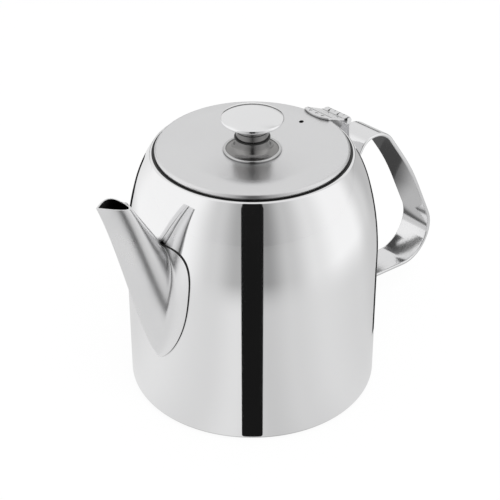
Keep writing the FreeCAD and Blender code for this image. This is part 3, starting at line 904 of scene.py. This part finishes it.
def along(tree, place, direction):
    """How far a place lies along a direction."""
    return chain(tree, "DOT_PRODUCT", place, direction, "ShaderNodeVectorMath")


def level_ramp(tree, turn, stops):
    """Brightness round the pot: each stop pairs a bearing in degrees, right of the camera, with a level."""
    ramp = tree.nodes.new("ShaderNodeValToRGB")
    ramp.color_ramp.interpolation = "EASE"
    points = ramp.color_ramp.elements
    while len(points) < len(stops):
        points.new(0.5)
    for point, (bearing, level) in zip(points, stops):
        point.position = bearing / 360 + 0.5
        point.color = (level, level, level, 1.0)
    link(tree, turn, ramp.inputs["Fac"])
    return ramp.outputs["Color"]


def mix_levels(tree, share, first, second):
    """The first level where the share is 0, and the second where it is 1."""
    node = tree.nodes.new("ShaderNodeMix")
    node.data_type = "RGBA"
    feed(tree, share, node.inputs["Factor"])
    feed(tree, first, node.inputs["A"])
    feed(tree, second, node.inputs["B"])
    return node.outputs["Result"]


def eased(tree, value, span):
    """A share that goes smoothly from 0 to 1 over the span."""
    node = tree.nodes.new("ShaderNodeMapRange")
    node.interpolation_type = "SMOOTHSTEP"
    node.inputs["From Min"].default_value = span[0]
    node.inputs["From Max"].default_value = span[1]
    link(tree, value, node.inputs["Value"])
    return node.outputs["Result"]


floor_levels = [(-180, 0.70), (-150, 0.66), (-113, 0.72), (-70, 0.82), (-30, 0.72), (-11, 0.80), (11, 0.60),
                (31, 0.68), (57, 0.75), (92, 0.70), (124, 0.60), (150, 0.50), (158, 0.08), (167, 0.08),
                (172, 0.6), (180, 0.70)]
wall_levels = [(-180, 0.84), (-146, 0.84), (-118, 1.0), (-60, 1.0), (-32, 0.66), (-12, 0.42), (12, 0.28),
               (31, 0.57), (54, 0.82), (78, 1.0), (96, 1.0), (116, 0.70), (134, 0.50), (158, 0.50),
               (174, 0.8), (180, 0.84)]
top_level = (0.84, 0.84, 0.84, 1.0)
band_level = (0.12, 0.12, 0.12, 1.0)
white = (1.0, 1.0, 1.0, 1.0)


def surround_levels():
    """What the steel mirrors: levels by bearing for the floor and for the walls, and one for the top."""
    group = bpy.data.node_groups.new("surround_levels", "ShaderNodeTree")
    group.interface.new_socket("Place", in_out="INPUT", socket_type="NodeSocketVector")
    for name in ("Wall Share", "Top Share"):
        group.interface.new_socket(name, in_out="INPUT", socket_type="NodeSocketFloat")
    group.interface.new_socket("Level", in_out="OUTPUT", socket_type="NodeSocketColor")
    given = group.nodes.new("NodeGroupInput")
    made = group.nodes.new("NodeGroupOutput")
    ahead = along(group, given.outputs["Place"], to_eye)
    aside = along(group, given.outputs["Place"], beside)
    bearing = chain(group, "ARCTAN2", aside, ahead)
    turn = chain(group, "ADD", chain(group, "DIVIDE", bearing, 2 * math.pi), 0.5)
    low = level_ramp(group, turn, floor_levels)
    high = level_ramp(group, turn, wall_levels)
    side = mix_levels(group, given.outputs["Wall Share"], low, high)
    link(group, mix_levels(group, given.outputs["Top Share"], side, top_level), made.inputs["Level"])
    return group


levels_group = surround_levels()

top_span = (0.72, 0.95)
behind_span = (-0.25, -0.55)
behind_rise = (0.1, 0.28)
band_span = (-0.6, -0.9)
band_rise = (0.13, 0.05)
world = bpy.data.worlds.new("white_surround")
scene.world = world
world.use_nodes = True
tree = world.node_tree
place = tree.nodes.new("ShaderNodeTexCoord").outputs["Generated"]
rise = along(tree, place, up)
ahead = along(tree, place, to_eye)
levels = tree.nodes.new("ShaderNodeGroup")
levels.node_tree = levels_group
levels.inputs["Wall Share"].default_value = 1.0
link(tree, place, levels.inputs["Place"])
link(tree, eased(tree, rise, top_span), levels.inputs["Top Share"])
behind = chain(tree, "MULTIPLY", eased(tree, ahead, behind_span), eased(tree, rise, behind_rise))
even = mix_levels(tree, behind, levels.outputs["Level"], top_level)
low_band = chain(tree, "MULTIPLY", eased(tree, ahead, band_span), eased(tree, rise, band_rise))
walls = mix_levels(tree, low_band, even, band_level)
path = tree.nodes.new("ShaderNodeLightPath")
seen = mix_levels(tree, path.outputs["Is Glossy Ray"], white, walls)
link(tree, seen, tree.nodes["Background"].inputs["Color"])
tree.nodes["Background"].inputs["Strength"].default_value = 1.0

floor_size = 6.0
floor_near_span = (0.19, 0.40)
floor_glow_share = 0.94
floor_builder = bmesh.new()
bmesh.ops.create_grid(floor_builder, x_segments=1, y_segments=1, size=floor_size / 2)
floor_paint = bpy.data.materials.new("floor_paint")
floor_paint.use_nodes = True
tree = floor_paint.node_tree
matt = tree.nodes["Principled BSDF"]
matt.inputs["Base Color"].default_value = (0.9, 0.9, 0.9, 1.0)
matt.inputs["Roughness"].default_value = 0.9
place = tree.nodes.new("ShaderNodeNewGeometry").outputs["Position"]
distance = tree.nodes.new("ShaderNodeVectorMath")
distance.operation = "LENGTH"
link(tree, place, distance.inputs[0])
levels = tree.nodes.new("ShaderNodeGroup")
levels.node_tree = levels_group
link(tree, place, levels.inputs["Place"])
link(tree, eased(tree, distance.outputs["Value"], floor_near_span), levels.inputs["Wall Share"])
path = tree.nodes.new("ShaderNodeLightPath")
glow = tree.nodes.new("ShaderNodeEmission")
shown = mix_levels(tree, path.outputs["Is Glossy Ray"], white, levels.outputs["Level"])
link(tree, shown, glow.inputs["Color"])
seen = chain(tree, "MAXIMUM", path.outputs["Is Camera Ray"], path.outputs["Is Glossy Ray"])
mixed = tree.nodes.new("ShaderNodeMixShader")
link(tree, chain(tree, "MULTIPLY", seen, floor_glow_share), mixed.inputs["Fac"])
link(tree, matt.outputs["BSDF"], mixed.inputs[1])
link(tree, glow.outputs["Emission"], mixed.inputs[2])
link(tree, mixed.outputs["Shader"], tree.nodes["Material Output"].inputs["Surface"])
floor = new_piece("floor", floor_builder, [floor_paint])

lamp_data = bpy.data.lights.new("soft_lamp", "AREA")
lamp_data.shape = "DISK"
lamp_data.size = 1.2
lamp_data.energy = 14.0
lamp = bpy.data.objects.new("soft_lamp", lamp_data)
lamp.location = (-0.5, -0.9, 1.6)
lamp.rotation_euler = (Vector(lamp.location) - camera_target).to_track_quat("Z", "Y").to_euler()
lamp.visible_glossy = False
scene.collection.objects.link(lamp)


# Cards: flat strips that show only mirrored in the steel, each laid where mirrored sight lines meet it.
# They give the dark strip on the pot, the lines along its outline and the dark bands in the handle.
card_lift = 0.4
dome_radius = 450.0
strip_half_width = 5.7
strip_low = 2.6
strip_high = 142.6
strip_corner = 1.6
fin_ahead = 1.5
strap_card_reach = 60.0
halvings = 40
eye = Vector(camera.location) / MM


def reflection_card(name, pairs, brightness, one_sided=False):
    """A strip between pairs of points that only reflections see. A one-sided one is clear from behind."""
    paint = bpy.data.materials.new(name + "_paint")
    paint.use_nodes = True
    tree = paint.node_tree
    glow = tree.nodes.new("ShaderNodeEmission")
    glow.inputs["Color"].default_value = (brightness, brightness, brightness, 1.0)
    shown = glow.outputs["Emission"]
    if one_sided:
        mixed = tree.nodes.new("ShaderNodeMixShader")
        side = tree.nodes.new("ShaderNodeNewGeometry")
        clear = tree.nodes.new("ShaderNodeBsdfTransparent")
        link(tree, side.outputs["Backfacing"], mixed.inputs["Fac"])
        link(tree, shown, mixed.inputs[1])
        link(tree, clear.outputs["BSDF"], mixed.inputs[2])
        shown = mixed.outputs["Shader"]
    link(tree, shown, tree.nodes["Material Output"].inputs["Surface"])
    builder = bmesh.new()
    rows = [[builder.verts.new(point * MM) for point in pair] for pair in pairs]
    for first, last in zip(rows, rows[1:]):
        builder.faces.new((first[0], first[1], last[1], last[0]))
    card = new_piece(name, builder, [paint])
    first_face = card.data.polygons[0]
    if first_face.normal.dot(Vector(camera.location) - first_face.center) < 0:
        card.data.flip_normals()
    card.visible_camera = False
    card.visible_shadow = False
    card.visible_diffuse = False


def mirrored(point, normal):
    """The heading of a sight line after it is mirrored at a point."""
    sight = (point - eye).normalized()
    return sight - normal * (2 * sight.dot(normal))


def on_floor_or_dome(point, ray):
    """Where a mirrored line meets the floor, or the dome round the pot."""
    if ray.z < 0:
        spot = point + ray * ((card_lift - point.z) / ray.z)
        if spot.length < dome_radius:
            return spot
    closest = point.dot(ray)
    return point + ray * (-closest + math.sqrt(closest ** 2 - point.length_squared + dome_radius ** 2))


def pot_point(bearing, radius, height, slope):
    """A point of the pot's outside and its normal, at a bearing to the right of the camera."""
    out = to_eye * math.cos(bearing) + beside * math.sin(bearing)
    return out * radius + up * height, (out * slope.x + up * slope.y).normalized()


wall_steps = 24
wall_points = [(body_radius, wall_height * step / wall_steps) for step in range(2, wall_steps)]
wall_start = outer_line.index(max(point for point in outer_line if point[1] < wall_height / 2)) + 1
card_line = outer_line[:wall_start] + wall_points + outer_line[wall_start:]
least_slope = Vector((0.1, -0.6))
pot_line = []
length = 0.0
for (r0, z0), (r1, z1), (r2, z2) in zip(card_line, card_line[1:], card_line[2:]):
    slope = Vector((z2 - z0, r0 - r2)).normalized()
    length += math.hypot(r1 - r0, z1 - z0)
    if slope.x > least_slope.x and slope.y > least_slope.y:
        pot_line.append((r1, z1, slope, length))


def strip_card(name, brightness):
    """The card for the dark strip, drawn in at its ends to round its corners."""
    shown = [point for point in pot_line if strip_low <= point[1] <= strip_high]
    pairs = []
    for radius, height, slope, length in shown:
        to_end = min(length - shown[0][3], shown[-1][3] - length)
        short = max(0.0, strip_corner - to_end)
        half = strip_half_width - strip_corner + math.sqrt(strip_corner ** 2 - short ** 2)
        pair = []
        for side in (-1, 1):
            point, normal = pot_point(math.asin(side * half / radius), radius, height, slope)
            pair.append(on_floor_or_dome(point, mirrored(point, normal)))
        pairs.append(pair)
    reflection_card(name, pairs, brightness)


def outline_turn(radius, height, slope):
    """The bearing at which the pot's outline lies, as seen from the camera."""
    low, high = 0.0, math.pi
    for _ in range(halvings):
        turn = (low + high) / 2
        point, normal = pot_point(turn, radius, height, slope)
        if normal.dot(eye - point) > 0:
            low = turn
        else:
            high = turn
    return low


def contour_card(name, side, low, high, gaps, lean, brightness):
    """A fin that leans off the pot along its outline, and shows as a line between two gaps inside it."""
    pairs = []
    for radius, height, slope, length in pot_line:
        if not low <= height <= high:
            continue
        turn = outline_turn(radius, height, slope)
        foot, outward = pot_point(side * turn, radius, height, slope)
        away = (foot - eye).normalized()
        facing = outward * math.cos(lean) - away * math.sin(lean)
        pair = []
        for gap in gaps:
            point, normal = pot_point(side * (turn - math.acos(1 - gap / radius)), radius, height, slope)
            ray = mirrored(point, normal)
            reach = (foot + away * fin_ahead - point).dot(facing) / ray.dot(facing)
            pair.append(point + ray * reach)
        pairs.append(pair)
    reflection_card(name, pairs, brightness, one_sided=True)


strip_card("dark_strip", brightness=0.01)
contour_card("left_contour_line", side=-1, low=78.0, high=138.0, gaps=(0.2, 1.4),
             lean=math.radians(32.0), brightness=0.01)
contour_card("right_contour_line", side=1, low=30.0, high=136.0, gaps=(0.1, 0.9),
             lean=math.radians(24.0), brightness=0.02)

strap_spacing = 2.0
strap_line = []
for (first, heading), (last, _) in zip(strap_path, strap_path[1:]):
    steps = max(1, int((last - first).length / strap_spacing))
    strap_line += [(first.lerp(last, step / steps), heading) for step in range(steps)]


def strap_step(reach, height):
    """The step of the strap's path that lies nearest to a place in its plane."""
    spot = Vector((reach, height))
    return min(range(len(strap_line)), key=lambda step: (strap_line[step][0] - spot).length)


def strap_card(name, start, end, bands, brightness):
    """A card that shows in the strap's inner face, between two places and between two lines across it."""
    first_step = strap_step(*start)
    last_step = strap_step(*end)
    pairs = []
    for step in range(first_step, last_step + 1):
        place, heading = strap_line[step]
        normal = Vector((heading.y, 0.0, -heading.x))
        ahead = (step - first_step) / (last_step - first_step)
        pair = []
        for first, last in bands:
            point = Vector((place.x, first + (last - first) * ahead, place.y)) + normal * half_strap
            pair.append(point + mirrored(point, normal) * strap_card_reach)
        pairs.append(pair)
    reflection_card(name, pairs, brightness)


edge = strap_width / 2
strap_card("handle_foot_dark", start=(98.0, 23.0), end=(76.0, 24.0),
           bands=((-edge, -edge), (edge, edge)), brightness=0.06)
strap_card("handle_bend_dark", start=(140.0, 30.0), end=(124.0, 20.0),
           bands=((-edge, -2.0), (-edge + 5.0, edge)), brightness=0.1)
